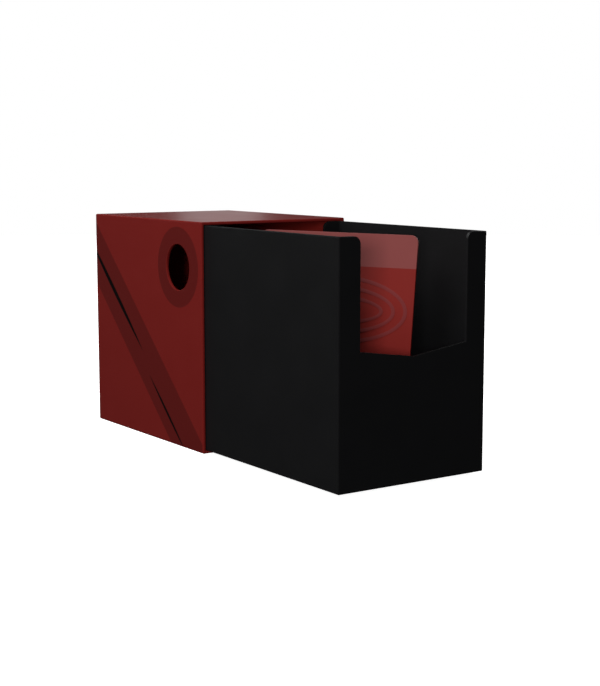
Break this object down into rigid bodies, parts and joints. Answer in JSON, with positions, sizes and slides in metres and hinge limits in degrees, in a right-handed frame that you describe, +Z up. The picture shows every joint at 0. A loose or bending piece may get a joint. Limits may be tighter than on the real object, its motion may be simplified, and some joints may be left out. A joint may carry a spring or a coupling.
{
  "type": "card deck box",
  "caption": "Rectangular card deck box: an open-topped tray with a finger notch at each end slides out of a close-fitting shell; a loose divider panel stands in the tray.",
  "frame": {"origin": "centre of the bounding box in plan, on the surface the shell stands on, with the tray drawn out", "axes": "+X is the way the tray slides out of the shell, +Z is up, Y runs across the box"},
  "size_m": [0.1948, 0.0742, 0.0989],
  "materials": {
    "shell_plastic": "dark red moulded plastic, satin, with a tonal printed decoration",
    "tray_plastic": "black moulded plastic, fine satin",
    "divider_plastic": "dark red moulded plastic, satin, with a faint raised motif"
  },
  "bodies": {
    "shell": {"outer_shell": "shell_plastic"},
    "tray": {"tray": "tray_plastic"},
    "divider": {"divider": "divider_plastic"}
  },
  "joints": [
    {"name": "tray_slide", "type": "slide", "parent": "shell", "child": "tray", "axis": [1, 0, 0], "range_m": [-0.096, 0]},
    {"name": "divider_shift", "type": "slide", "parent": "tray", "child": "divider", "axis": [1, 0, 0], "range_m": [-0.0194, 0.012]}
  ]
}
